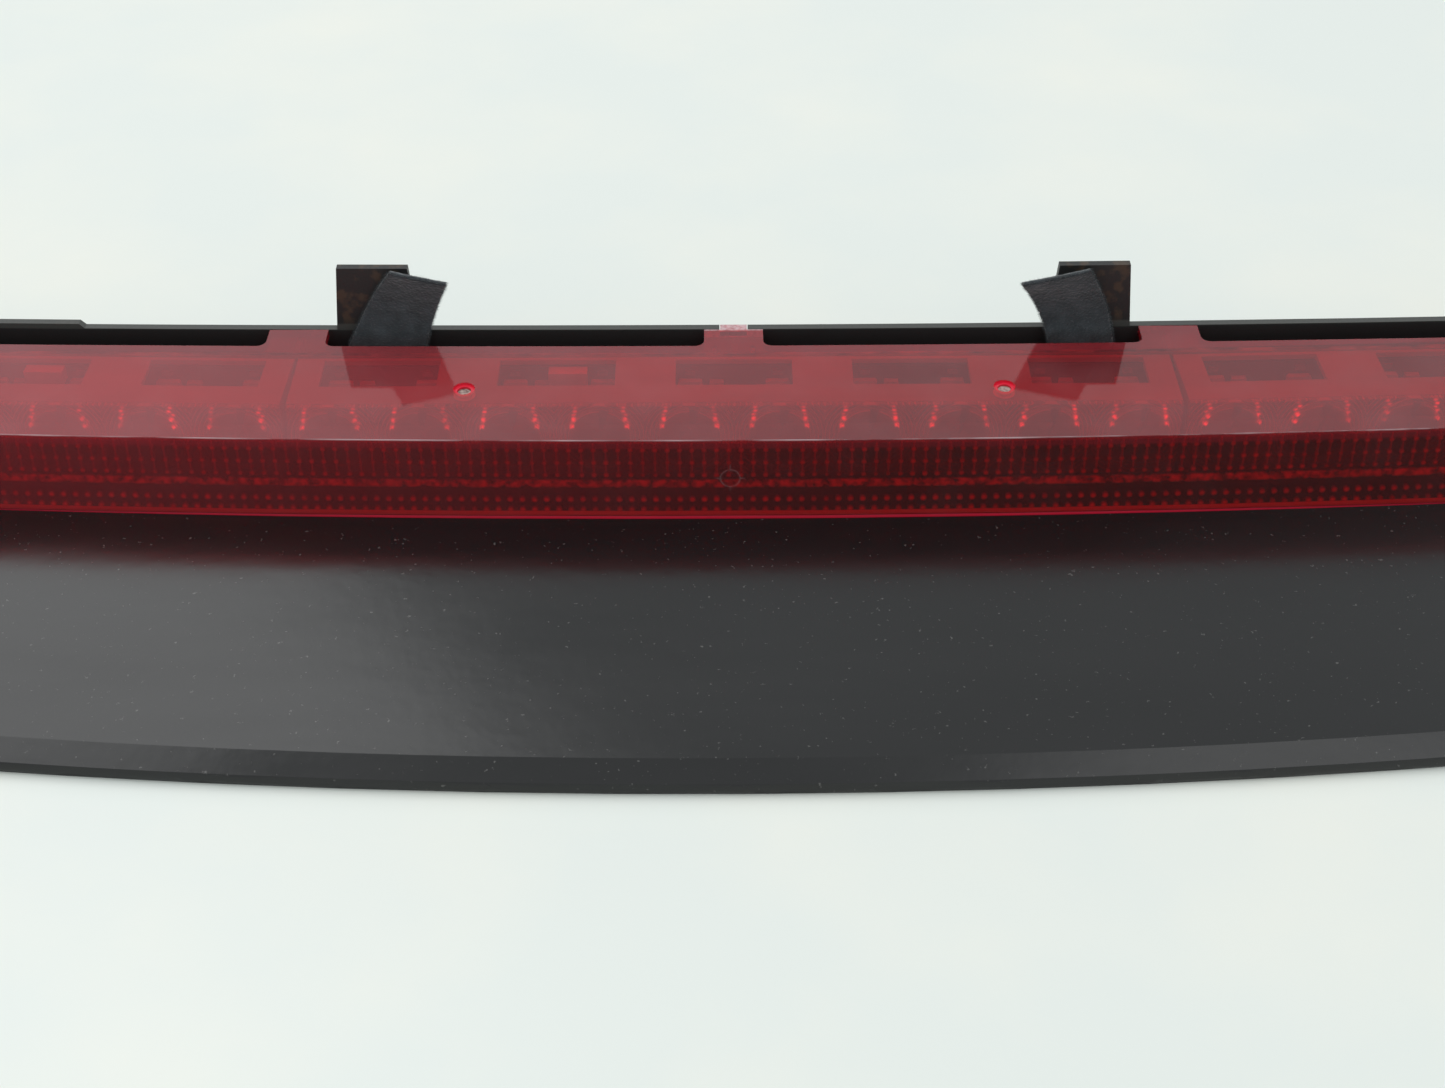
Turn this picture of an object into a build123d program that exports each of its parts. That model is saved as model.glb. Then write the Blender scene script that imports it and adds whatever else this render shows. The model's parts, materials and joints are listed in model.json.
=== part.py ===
from build123d import *
import os
from math import asin, atan, cos, degrees, sin, sqrt

os.makedirs("parts", exist_ok=True)

# Third brake light: a wide LED lamp on a gloss black trim panel.
# X runs along the lamp, +Y points to the rear wall, +Z is up. Sizes are in mm.
# While a piece is drawn, y = 0 is the ridge of the lens at mid length.

# ---------------------------------------------------------------- light modules
led_pitch = 27.3
leds_per_module = 10
module_gap = 1.0
lamp_end_margin = 4.0
module_names = ("left", "centre", "right")

# ---------------------------------------------------------------- plan shape
wing_width = 27.5
apron_depth = 104.0
lamp_depth = 52.0
pocket_width = 9.9
lip_bow_radius = 1975.0
lens_front_bow_radius = 4700.0
rear_bow_radius = 9000.0

# ---------------------------------------------------------------- heights
lamp_top = 43.0
floor_underside = 12.0
apron_rear_height = 15.9
apron_end_rise = 3.0
lip_band_height = 6.4
lip_edge_height = 3.6
lip_band_width = 7.6
lip_roll_depth = 0.5

# ---------------------------------------------------------------- walls
panel_wall = 2.6
housing_wall = 2.6
floor_thickness = 2.4
chamber_wall = 1.6
lens_wall = 2.5
lens_rake = 1.5
rib_thickness = 1.8

# ---------------------------------------------------------------- fits
foot_seal_thickness = 0.8
rear_seal_thickness = 0.4
edge_gap = 0.3
slide_gap = 0.1
screw_hole_clearance = 0.6
tab_gap = 0.25

# ---------------------------------------------------------------- lens details
tab_width = 18.5
tab_nose_width = 8.4
tab_corner_radius = 3.0
stake_hole_bore = 4.2
stake_recess_bore = 6.6
stake_recess_depth = 0.8
stake_hole_y = 28.5
stake_top_gap = 0.6
tab_overlap = 2.0
hook_thickness = 1.2
hook_spacing = 12.0
hook_length = 7.0
hook_reach = 3.6

# ---------------------------------------------------------------- rear wall details
rim_step_x = -205.0
rim_step_height = 1.6
tongue_centre_x = 112.0
tongue_width = 26.0
tongue_height = 22.0
tongue_draft = 2.0
felt_width = 19.0
felt_thickness = 1.4
felt_root_width = 22.0
felt_pocket_depth = 18.0
felt_tip_rise = 3.0
felt_tip_skew = 6.0

# ---------------------------------------------------------------- light frame
frame_plate = 1.6
frame_web = 1.6
window_width = 36.0
window_front = 34.2
window_depth = 14.4
optic_plate = 1.9
optic_front = 22.6
optic_ridge_height = 1.6
optic_pad = 0.3
optic_ring_count = 3
optic_ring_pitch = 2.3
optic_lens_radius = 3.2
optic_axis_z = 29.5
frame_boss_diameter = 6.4
frame_boss_height = 8.0
frame_screw_offset = 95.5
frame_screw_y = 34.0

# ---------------------------------------------------------------- electronics
board_thickness = 1.6
board_height = 21.8
led_size = 7.6
led_base = 1.9
led_dome_diameter = 5.0
led_dome_height = 2.2
led_corner_radius = 0.8
resistor_gap = 2.4
diode_offset = 5.4
diode_rise = 2.2
resistor_size = (3.2, 0.7, 1.6)
diode_size = (4.4, 2.2, 2.6)
chip_size = (5.0, 1.6, 4.0)
capacitor_size = (12.0, 4.2, 4.4)
capacitor_offset = 3.0
link_size = (13.0, 3.0, 5.0)
link_height = 19.5

# ---------------------------------------------------------------- connector
socket_x = -60.0
socket_width = 22.0
socket_height = 10.6
socket_length = 20.5
socket_wall = 1.6
socket_cavity_depth = 13.0
socket_stand_out = 2.0
socket_corner_radius = 1.0
latch_setback = 4.0
latch_length = 2.0
latch_height = 0.9
contact_setback = 4.0
contact_count = 3
contact_pitch = 5.0
contact_width = 1.5
contact_thickness = 0.8
contact_top = 22.0

# ---------------------------------------------------------------- fixings
tower_x = 210.0
tower_y = 44.0
tower_diameter = 12.0
insert_outer = 6.8
insert_bore = 4.2
insert_length = 9.0
seal_ring_outer = 22.0
seal_ring_height = 5.0
end_hole_bore = 5.5
end_boss_diameter = 13.0
end_hole_y = 30.0
small_screw_shank = 2.9
small_screw_head = 6.0
small_screw_head_height = 2.0
small_screw_length = 8.0
trim_screw_x = (55.0, 165.0, 275.0, 370.0)
trim_screw_y = 8.0
trim_boss_diameter = 6.4
trim_boss_height = 5.6
shelf_depth = 18.0
clip_x = (110.0, 320.0)
clip_y = 40.0
clip_width = 12.0
clip_sheet = 0.6
clip_blade_thickness = 2.4
clip_blade_width = 14.0
clip_blade_height = 9.0
clip_wing_reach = 3.4
clip_wing_root = 1.2
clip_wing_sheet = 0.7
clip_hook_in = 1.2
clip_hook_rise = 1.6
clip_hook_lip = 0.4
clip_top_gap = 1.0
floor_rib_x = (30.0, 160.0, 245.0, 295.0, 345.0, 400.0)
floor_rib_height = 6.5
apron_rib_spacing = 68.0
apron_rib_clearance = 1.2
vent_x = 60.0
vent_y = 35.0
vent_bore = 6.0
vent_cap_diameter = 12.0
vent_cap_height = 3.0

# ---------------------------------------------------------------- derived sizes
module_length = led_pitch * leds_per_module
module_pitch = module_length + module_gap
lamp_length = len(module_names) * module_pitch + 2 * lamp_end_margin
lamp_half = lamp_length / 2
panel_half = lamp_half + wing_width
floor_top = floor_underside + floor_thickness
shelf_underside = floor_underside - panel_wall
lens_underside = lamp_top - lens_wall
lens_foot = floor_top + foot_seal_thickness
chamber_top = lens_underside - rear_seal_thickness
chamber_rear_inner = lamp_depth - chamber_wall
wall_inner = lamp_depth + pocket_width
wall_outer = wall_inner + housing_wall
apron_rear = -lens_rake - edge_gap
frame_rear = chamber_rear_inner - edge_gap
frame_top = chamber_top + slide_gap
frame_underside = frame_top - frame_plate
frame_front = optic_front + optic_plate + slide_gap
board_rear = frame_rear - slide_gap
board_front = board_rear - board_thickness
board_bottom = floor_top + frame_plate + 2 * slide_gap
hole_half_gap = slide_gap / 2
tab_x = (-module_pitch / 2, 0.0, module_pitch / 2)
stake_hole_x = 3 * led_pitch
end_hole_x = lamp_half + wing_width / 2
socket_rear = wall_outer + socket_stand_out


def bow(x, radius):
    """How far a plan arc of this radius has swept back at x."""
    return radius - sqrt(radius**2 - x**2)


def arc_face(x0, x1, front, front_radius, rear, rear_radius, z):
    """A flat plan face between two bowed edges."""
    middle = (x0 + x1) / 2
    near = [(x, front + bow(x, front_radius), z) for x in (x0, middle, x1)]
    far = [(x, rear + bow(x, rear_radius), z) for x in (x1, middle, x0)]
    edges = [ThreePointArc(*near), Line(near[2], far[0]), ThreePointArc(*far), Line(far[2], near[0])]
    return make_face(edges)


def arc_slab(x0, x1, front, front_radius, rear, rear_radius, z0, z1):
    """A slab of even height between two bowed edges."""
    face = arc_face(x0, x1, front, front_radius, rear, rear_radius, z0)
    return extrude(face, z1 - z0, dir=(0, 0, 1))


def block(x0, x1, y0, y1, z0, z1):
    """A box from its two corners."""
    return Pos((x0 + x1) / 2, (y0 + y1) / 2, (z0 + z1) / 2) * Box(x1 - x0, y1 - y0, z1 - z0)


def post(x, y, diameter, z0, z1):
    """A vertical round bar."""
    return Pos(x, y, (z0 + z1) / 2) * Cylinder(diameter / 2, z1 - z0)


def pan_screw(x, y, diameter, top):
    """A small pan head with its shank, driven upwards: the head's upper face is at top."""
    head = post(x, y, small_screw_head, top - small_screw_head_height, top)
    shank = post(x, y, diameter, top - small_screw_head_height / 2, top + small_screw_length)
    recess = post(x, y, small_screw_head / 3,
                  top - small_screw_head_height, top - small_screw_head_height / 2)
    return head + shank - recess


def front_y(x):
    """The lens's front face at the ridge."""
    return bow(x, lens_front_bow_radius)


def rear_y(x):
    """The sweep of everything behind the optics."""
    return bow(x, rear_bow_radius)


# ---------------------------------------------------------------- trim panel
def apron_height(x):
    """Height of the apron where it meets the lens: it rises a little to the ends."""
    return apron_rear_height + apron_end_rise * (x / panel_half) ** 2


def apron_section(x, inner):
    """The apron's profile at x, from the lens down to the rolled lip."""
    lip = -apron_depth + bow(x, lip_bow_radius)
    rear = apron_rear + front_y(x)
    height = apron_height(x)
    roll = lip_edge_height / 2
    band_rear = lip + lip_band_width
    outside = [
        Line((x, rear, height), (x, band_rear, lip_band_height)),
        Line((x, band_rear, lip_band_height), (x, lip + lip_roll_depth, lip_edge_height)),
        ThreePointArc((x, lip + lip_roll_depth, lip_edge_height), (x, lip, roll),
                      (x, lip + lip_roll_depth, 0)),
    ]
    start, end = (x, rear, height), (x, lip + lip_roll_depth, 0)
    if inner:
        foot = (x, lip + panel_wall, 0)
        knee = (x, lip + panel_wall, lip_edge_height - panel_wall / 2)
        shoulder = (x, band_rear, lip_band_height - panel_wall)
        back = (x, rear, height - panel_wall)
        corners = [end, foot, knee, shoulder, back, start]
    else:
        corners = [end, (x, rear, 0), start]
    inside = [Line(a, b) for a, b in zip(corners, corners[1:])]
    return Wire(outside + inside)


def apron_loft(inner):
    """The apron as a shell (inner) or as the filled space that trims its ribs."""
    stations = [panel_half * i / 4 for i in range(-4, 5)]
    return loft([Face(apron_section(x, inner)) for x in stations])


def make_trim_panel():
    apron = apron_loft(True)
    filled = apron_loft(False)
    riser = arc_slab(-panel_half, panel_half, apron_rear - panel_wall, lens_front_bow_radius,
                     apron_rear, lens_front_bow_radius, shelf_underside, apron_rear_height - panel_wall / 2)
    shelf = arc_slab(-panel_half, panel_half, apron_rear - panel_wall, lens_front_bow_radius,
                     shelf_depth, lens_front_bow_radius, shelf_underside, floor_underside)
    panel = apron + riser + shelf
    ribs = int(panel_half / apron_rib_spacing)
    for i in range(-ribs, ribs + 1):
        x = i * apron_rib_spacing
        web = block(x - rib_thickness / 2, x + rib_thickness / 2, -apron_depth, wall_outer,
                    apron_rib_clearance, lamp_top)
        panel += filled & web
    for side in (-1, 1):
        inner_x, outer_x = side * (lamp_half + 2 * edge_gap), side * panel_half
        x0, x1 = min(inner_x, outer_x), max(inner_x, outer_x)
        wall_x = sorted((outer_x, outer_x - side * panel_wall))
        end_wall = block(*wall_x, -apron_depth, wall_outer, apron_rib_clearance, lamp_top)
        wing = arc_slab(x0, x1, apron_rear - panel_wall, lens_front_bow_radius,
                        wall_outer, rear_bow_radius, shelf_underside, apron_rear_height)
        hole_x = side * end_hole_x
        panel += (filled & end_wall) + wing + post(hole_x, end_hole_y, end_boss_diameter, 0, shelf_underside)
        panel -= post(hole_x, end_hole_y, end_hole_bore, -1, apron_rear_height + 1)
    for x in trim_screw_x:
        for side in (-1, 1):
            y = trim_screw_y + front_y(x)
            bore = small_screw_shank + screw_hole_clearance
            panel -= post(side * x, y, bore, shelf_underside - 1, floor_underside + 1)
    return panel


# ---------------------------------------------------------------- lamp housing
def rear_wall_outline():
    """Rear wall seen from the front: rim, raised left end, notch and the two tongues."""
    half_notch = tab_nose_width / 2 + tab_gap
    points = [(-lamp_half, 0), (-lamp_half, lamp_top + rim_step_height),
              (rim_step_x - rim_step_height, lamp_top + rim_step_height), (rim_step_x, lamp_top)]
    for centre in (-tongue_centre_x, tongue_centre_x):
        root, tip = tongue_width / 2, tongue_width / 2 - tongue_draft
        if centre > 0:
            points += [(-half_notch, lamp_top), (-half_notch, lens_underside),
                       (half_notch, lens_underside), (half_notch, lamp_top)]
        points += [(centre - root, lamp_top), (centre - tip, lamp_top + tongue_height),
                   (centre + tip, lamp_top + tongue_height), (centre + root, lamp_top)]
    points += [(lamp_half, lamp_top), (lamp_half, 0)]
    return make_face(Polyline([(x, 0, z) for x, z in points], close=True))


def make_rear_wall():
    tall = lamp_top + tongue_height + rim_step_height
    wall = arc_slab(-lamp_half, lamp_half, wall_inner, rear_bow_radius, wall_outer, rear_bow_radius, 0, tall)
    outline = extrude(rear_wall_outline(), wall_outer + lamp_depth, dir=(0, 1, 0))
    opening = block(socket_x - socket_width / 2 - edge_gap, socket_x + socket_width / 2 + edge_gap,
                    wall_inner - 1, wall_outer + 1, -1, floor_underside)
    return (wall & outline) - opening


def make_lamp_housing():
    floor = arc_slab(-lamp_half, lamp_half, -lens_rake - hole_half_gap, lens_front_bow_radius,
                     wall_inner + housing_wall / 2, rear_bow_radius, floor_underside, floor_top)
    chamber_half = lamp_half - lens_wall - edge_gap
    chamber = arc_slab(-chamber_half, chamber_half, chamber_rear_inner, rear_bow_radius,
                       lamp_depth, rear_bow_radius, floor_underside, chamber_top)
    housing = floor + chamber + make_rear_wall()
    for side in (-1, 1):
        x0, x1 = sorted((side * lamp_half, side * (lamp_half - housing_wall)))
        housing += arc_slab(x0, x1, lamp_depth + tab_gap, rear_bow_radius,
                            wall_inner + housing_wall / 2, rear_bow_radius, floor_underside, lamp_top)
    for x in tab_x:
        housing += block(x - rib_thickness / 2, x + rib_thickness / 2,
                         lamp_depth - chamber_wall / 2 + rear_y(x),
                         wall_inner + housing_wall / 2 + rear_y(x), floor_top, chamber_top)
    for x in floor_rib_x:
        for side in (-1, 1):
            housing += block(side * x - rib_thickness / 2, side * x + rib_thickness / 2,
                             shelf_depth + front_y(x) + 1, wall_inner + housing_wall / 2 + rear_y(x),
                             floor_underside - floor_rib_height, floor_underside + floor_thickness / 2)
    for side in (-1, 1):
        housing += post(side * tower_x, tower_y, tower_diameter, 0, floor_underside)
        housing -= post(side * tower_x, tower_y, insert_outer + slide_gap, -1, insert_length)
        for x in clip_x:
            housing += block(side * x - clip_blade_width / 2, side * x + clip_blade_width / 2,
                             clip_y - clip_blade_thickness / 2, clip_y + clip_blade_thickness / 2,
                             floor_underside - clip_blade_height, floor_underside)
        for x in trim_screw_x:
            y = trim_screw_y + front_y(x)
            top = floor_top + trim_boss_height
            housing += post(side * x, y, trim_boss_diameter, floor_top, top)
            housing -= post(side * x, y, small_screw_shank + slide_gap, floor_underside - 1, top - 1)
    for place in module_places():
        for local_x in (-frame_screw_offset, frame_screw_offset):
            spot = place * Pos(local_x, frame_screw_y, 0)
            bore = small_screw_shank + screw_hole_clearance
            housing -= spot * post(0, 0, bore, floor_underside - 1, floor_top + 1)
    housing -= post(vent_x, vent_y, vent_bore, floor_underside - 1, floor_top + 1)
    for contact in make_contacts(slide_gap / 2):
        housing -= contact
    return housing


# ---------------------------------------------------------------- lens and its seals
def make_lens():
    top = arc_slab(-lamp_half, lamp_half, 0, lens_front_bow_radius,
                   lamp_depth, rear_bow_radius, lens_underside, lamp_top)
    upper = arc_face(-lamp_half, lamp_half, 0, lens_front_bow_radius,
                     lens_wall, lens_front_bow_radius, lamp_top)
    lower = arc_face(-lamp_half, lamp_half, -lens_rake, lens_front_bow_radius,
                     lens_wall - lens_rake, lens_front_bow_radius, lens_foot)
    lens = top + loft([lower, upper], ruled=True)
    for side in (-1, 1):
        x0, x1 = sorted((side * lamp_half, side * (lamp_half - lens_wall)))
        lens += arc_slab(x0, x1, lens_wall / 2, lens_front_bow_radius,
                         lamp_depth, rear_bow_radius, lens_foot, lamp_top)
    for x in tab_x:
        lens += block(x - tab_width / 2, x + tab_width / 2, lamp_depth - tab_overlap + rear_y(x),
                      wall_inner - tab_gap + rear_y(x), lens_underside, lamp_top)
    lens += block(-tab_nose_width / 2, tab_nose_width / 2,
                  wall_inner - 1, wall_outer, lens_underside, lamp_top)
    roots = [e for e in lens.edges().filter_by(Axis.Z) if is_tab_root(e)]
    lens = fillet(roots, tab_corner_radius)
    for side in (-1, 1):
        x = side * stake_hole_x
        lens -= post(x, stake_hole_y, stake_hole_bore, lens_underside - 1, lamp_top + 1)
        lens -= post(x, stake_hole_y, stake_recess_bore, lamp_top - stake_recess_depth, lamp_top + 1)
        hook_x = side * hook_spacing / 2
        hook_y = lamp_depth + edge_gap
        lens += block(hook_x - hook_thickness / 2, hook_x + hook_thickness / 2, hook_y, hook_y + hook_reach,
                      lens_underside - hook_length, lens_underside)
    return lens


def is_tab_root(edge):
    """True for the upright edges where a tab leaves the lens's rear edge."""
    centre = edge.center()
    at_rear = abs(centre.Y - lamp_depth - rear_y(centre.X)) < 0.2
    beside_tab = any(abs(abs(centre.X - x) - tab_width / 2) < 0.01 for x in tab_x)
    return at_rear and beside_tab


def make_foot_seal():
    return arc_slab(-lamp_half, lamp_half, -lens_rake, lens_front_bow_radius,
                    lens_wall - lens_rake, lens_front_bow_radius, floor_top, lens_foot)


def make_rear_seal():
    half = lamp_half - lens_wall - edge_gap
    return arc_slab(-half, half, chamber_rear_inner, rear_bow_radius,
                    lamp_depth, rear_bow_radius, chamber_top, lens_underside)


# ---------------------------------------------------------------- light modules
def module_places():
    """Each straight module sits on a chord of the lamp's bow."""
    places = []
    for index in range(len(module_names)):
        x = (index - (len(module_names) - 1) / 2) * module_pitch
        turn = degrees(atan(x / rear_bow_radius))
        places.append(Pos(x, rear_y(x), 0) * Rot(0, 0, turn))
    return places


def led_positions():
    """Places of the LEDs along one module."""
    return [(i - (leds_per_module - 1) / 2) * led_pitch for i in range(leds_per_module)]


def window_positions():
    """Each window shows two LEDs."""
    leds = led_positions()
    return [(a + b) / 2 for a, b in zip(leds[::2], leds[1::2])]


def make_led_frame(is_centre):
    half = module_length / 2 - frame_web / 2
    top = block(-half, half, frame_front, frame_rear, frame_underside, frame_top)
    bottom = block(-half, half, frame_front, frame_rear, floor_top, floor_top + frame_plate)
    frame = top + bottom
    web_rear = board_front - led_base - led_dome_height
    web_x = [(a + b) / 2 for a, b in zip(window_positions(), window_positions()[1:])]
    for x in web_x + [-half + frame_web / 2, half - frame_web / 2]:
        frame += block(x - frame_web / 2, x + frame_web / 2,
                       frame_front, web_rear, floor_top, frame_underside)
    for x in window_positions():
        frame -= block(x - window_width / 2, x + window_width / 2, window_front, window_front + window_depth,
                       frame_underside - 1, frame_top + 1)
    for x in (-frame_screw_offset, frame_screw_offset):
        frame += post(x, frame_screw_y, frame_boss_diameter, floor_top, floor_top + frame_boss_height)
        frame -= post(x, frame_screw_y, small_screw_shank + slide_gap,
                      floor_top - 1, floor_top + frame_boss_height - 1)
    if is_centre:
        for side in (-1, 1):
            frame += post(side * stake_hole_x, stake_hole_y, stake_hole_bore - 2 * slide_gap,
                          frame_underside, lamp_top - stake_recess_depth - stake_top_gap)
        for contact in make_contacts(slide_gap / 2):
            frame -= contact
    return frame


def make_optic_cell():
    """One Fresnel cell: a centre lens inside ring ridges."""
    outer = optic_lens_radius + optic_ring_count * optic_ring_pitch
    root, base, crest = -optic_plate / 2, optic_pad, optic_ridge_height
    profile = [(0, root), (outer + optic_pad, root), (outer + optic_pad, base), (outer, base)]
    for ring in reversed(range(optic_ring_count)):
        inner = optic_lens_radius + ring * optic_ring_pitch
        profile += [(inner, crest), (inner, base)]
    points = [(r, 0, h) for r, h in profile]
    rise = crest - base
    ball = (optic_lens_radius**2 + rise**2) / (2 * rise)
    half_angle = asin(optic_lens_radius / ball) / 2
    middle = (ball * sin(half_angle), 0, crest - ball * (1 - cos(half_angle)))
    bulge = ThreePointArc((optic_lens_radius, 0, base), middle, (0, 0, crest))
    edges = [*Polyline(points).edges(), bulge, Line((0, 0, crest), points[0])]
    rings = revolve(make_face(edges), Axis.Z)
    return Pos(0, optic_front, optic_axis_z) * Rot(90, 0, 0) * rings


def make_optic_strip():
    half = module_length / 2 - frame_web / 2
    strip = block(-half, half, optic_front, optic_front + optic_plate, floor_top + slide_gap, frame_top)
    cell = make_optic_cell()
    for x in led_positions():
        strip += Pos(x, 0, 0) * cell
    return strip


def make_board():
    half = module_length / 2 - frame_web / 2
    return block(-half, half, board_front, board_rear, board_bottom, board_bottom + board_height)


def on_board(x, z, size):
    """A component standing on the board's front face: size is width, depth, height."""
    width, depth, height = size
    return Pos(x, board_front - depth / 2, z) * Box(width, depth, height)


def make_leds():
    group = []
    for x in led_positions():
        base = on_board(x, optic_axis_z, (led_size, led_base, led_size))
        base = fillet(base.edges().filter_by(Axis.Y), led_corner_radius)
        dome = Pos(x, board_front - led_base, optic_axis_z) * Rot(90, 0, 0) * make_dome()
        group.append(base + dome)
    return group


def make_dome():
    """A round-nosed LED window standing on its base."""
    radius = led_dome_diameter / 2
    straight = led_dome_height / 3
    barrel = Pos(0, 0, straight / 2) * Cylinder(radius, straight)
    nose = Pos(0, 0, straight) * scale(Sphere(radius), by=(1, 1, (led_dome_height - straight) / radius))
    return barrel + (nose & Pos(0, 0, straight + radius) * Box(3 * radius, 3 * radius, 2 * radius))


def make_resistors():
    height = optic_axis_z + led_size / 2 + resistor_gap
    return [on_board(x, height, resistor_size) for x in led_positions()]


def make_diodes():
    """One protection diode in each window, just above the LED row."""
    return [on_board(x - diode_offset, optic_axis_z + diode_rise, diode_size) for x in window_positions()]


def make_driver_chip():
    """The current regulator of one module, below the LED row."""
    return on_board(window_positions()[2], board_bottom + chip_size[2], chip_size)


def make_capacitor(side):
    """The suppression capacitor of one module, beside the regulator."""
    x = window_positions()[2 + side] + capacitor_offset
    z = board_bottom + board_height - capacitor_size[2] / 2 - slide_gap
    return on_board(x, z, capacitor_size)


def make_board_link(side):
    """A two-pole bridge between neighbouring boards."""
    return Pos(0, -slide_gap, 0) * on_board(side * module_pitch / 2, link_height, link_size)


# ---------------------------------------------------------------- connector
def make_contacts(grow):
    """Angled contact blades: a tail up to the board and a blade in the socket."""
    blades = []
    blade_z = floor_underside - socket_height / 2
    half_width = contact_width / 2 + grow
    tail_front, tail_rear = board_front - contact_thickness, board_front
    for i in range(contact_count):
        x = socket_x + (i - (contact_count - 1) / 2) * contact_pitch
        tail = block(x - half_width, x + half_width, tail_front - grow, tail_rear + grow,
                     blade_z - contact_thickness / 2 - grow, contact_top + grow)
        blade = block(x - half_width, x + half_width,
                      tail_front - grow, socket_rear - contact_setback + grow,
                      blade_z - contact_thickness / 2 - grow, blade_z + contact_thickness / 2 + grow)
        blades.append(tail + blade)
    return blades


def make_connector_socket():
    front = socket_rear - socket_length
    body = block(socket_x - socket_width / 2, socket_x + socket_width / 2, front, socket_rear,
                 floor_underside - socket_height, floor_underside)
    body = fillet(body.edges().filter_by(Axis.Y), socket_corner_radius)
    cavity = block(socket_x - socket_width / 2 + socket_wall, socket_x + socket_width / 2 - socket_wall,
                   socket_rear - socket_cavity_depth, socket_rear + 1,
                   floor_underside - socket_height + socket_wall, floor_underside - socket_wall)
    latch_front = socket_rear - latch_setback
    latch = block(socket_x - socket_wall, socket_x + socket_wall, latch_front, latch_front + latch_length,
                  floor_underside - socket_wall - latch_height, floor_underside - socket_wall / 2)
    body = body - cavity + latch
    for contact in make_contacts(slide_gap / 2):
        body -= contact
    return body


# ---------------------------------------------------------------- small hardware
def make_frame_screws():
    group = []
    for place in module_places():
        for x in (-frame_screw_offset, frame_screw_offset):
            screw = pan_screw(x, frame_screw_y, small_screw_shank, floor_underside)
            group.append(place * screw)
    return group


def make_trim_screws():
    return [pan_screw(side * x, trim_screw_y + front_y(x), small_screw_shank, shelf_underside).solid()
            for x in trim_screw_x for side in (-1, 1)]


def make_threaded_inserts():
    inserts = []
    for side in (-1, 1):
        sleeve = post(side * tower_x, tower_y, insert_outer, 0, insert_length)
        inserts.append(sleeve - post(side * tower_x, tower_y, insert_bore, -1, insert_length + 1))
    return inserts


def make_tower_seals():
    top, bottom = floor_underside, floor_underside - seal_ring_height
    rings = []
    for side in (-1, 1):
        ring = post(side * tower_x, tower_y, seal_ring_outer, bottom, top)
        rings.append(ring - post(side * tower_x, tower_y, tower_diameter + slide_gap, bottom - 1, top + 1))
    return rings


def make_spring_clips():
    """Sheet-steel U clips pushed up over the housing's blades, with sprung wings."""
    gap = clip_blade_thickness / 2 + slide_gap
    foot = floor_underside - clip_blade_height - slide_gap
    top = floor_underside - clip_top_gap
    wing_z = (foot + top) / 2
    reach = gap + clip_wing_reach
    hook_y, hook_z = reach - clip_hook_in, wing_z + clip_hook_rise
    right = [(gap, top), (gap, foot), (0, foot), (0, foot - clip_sheet),
             (gap + clip_sheet, foot - clip_sheet),
             (reach, wing_z), (hook_y, hook_z), (hook_y - clip_hook_lip, hook_z - clip_hook_lip),
             (reach - clip_wing_sheet, wing_z), (gap + clip_sheet, foot + clip_wing_root),
             (gap + clip_sheet, top)]
    face = make_face(Polyline([(0, y, z) for y, z in right], close=True))
    half = extrude(face, clip_width / 2, dir=(1, 0, 0), both=True)
    clip = half + mirror(half, Plane.XZ)
    return [Pos(side * x, clip_y, 0) * clip for x in clip_x for side in (-1, 1)]


def make_vent_plug():
    cap = post(vent_x, vent_y, vent_cap_diameter, floor_underside - vent_cap_height, floor_underside)
    stem = post(vent_x, vent_y, vent_bore - slide_gap, floor_underside - 1, floor_top)
    bore = post(vent_x, vent_y, vent_bore / 2, floor_underside - vent_cap_height - 1, floor_top + 1)
    return cap + stem - bore


def make_felt_strip(side):
    """A felt tape stuck to the tongue's front face, leaning towards mid length."""
    root_x, tip_x = side * tongue_centre_x, side * (tongue_centre_x - tongue_width / 2)
    low, high = lamp_top - felt_pocket_depth, lamp_top + tongue_height + felt_tip_rise
    points = [(root_x - side * felt_root_width / 2, low), (root_x - side * felt_root_width / 2, lamp_top),
              (tip_x - side * felt_width / 2, high - felt_tip_skew), (tip_x + side * felt_width / 2, high),
              (root_x + side * felt_root_width / 2, lamp_top), (root_x + side * felt_root_width / 2, low)]
    face = make_face(Polyline([(x, 0, z) for x, z in points], close=True))
    sheet = extrude(face, lamp_depth + wall_outer, dir=(0, 1, 0))
    skin = arc_slab(min(root_x, tip_x) - felt_root_width, max(root_x, tip_x) + felt_root_width,
                    wall_inner - slide_gap - felt_thickness, rear_bow_radius,
                    wall_inner - slide_gap, rear_bow_radius, 0, 2 * lamp_top)
    return sheet & skin


# ---------------------------------------------------------------- assembly
nodes = {
    "trim_panel": make_trim_panel(),
    "lamp_housing": make_lamp_housing(),
    "lens": make_lens(),
    "lens_foot_seal": make_foot_seal(),
    "lens_rear_seal": make_rear_seal(),
    "driver_chips": [place * make_driver_chip() for place in module_places()],
    "suppression_capacitors": [place * make_capacitor(side)
                               for place, side in zip(module_places(), (1, -1, 1))],
    "board_link_left": make_board_link(-1),
    "board_link_right": make_board_link(1),
    "connector_socket": make_connector_socket(),
    "connector_contacts": make_contacts(0),
    "frame_screws": make_frame_screws(),
    "trim_screws": make_trim_screws(),
    "threaded_inserts": make_threaded_inserts(),
    "tower_seals": make_tower_seals(),
    "spring_clips": make_spring_clips(),
    "vent_plug": make_vent_plug(),
    "felt_strip_left": make_felt_strip(-1),
    "felt_strip_right": make_felt_strip(1),
}
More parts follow.
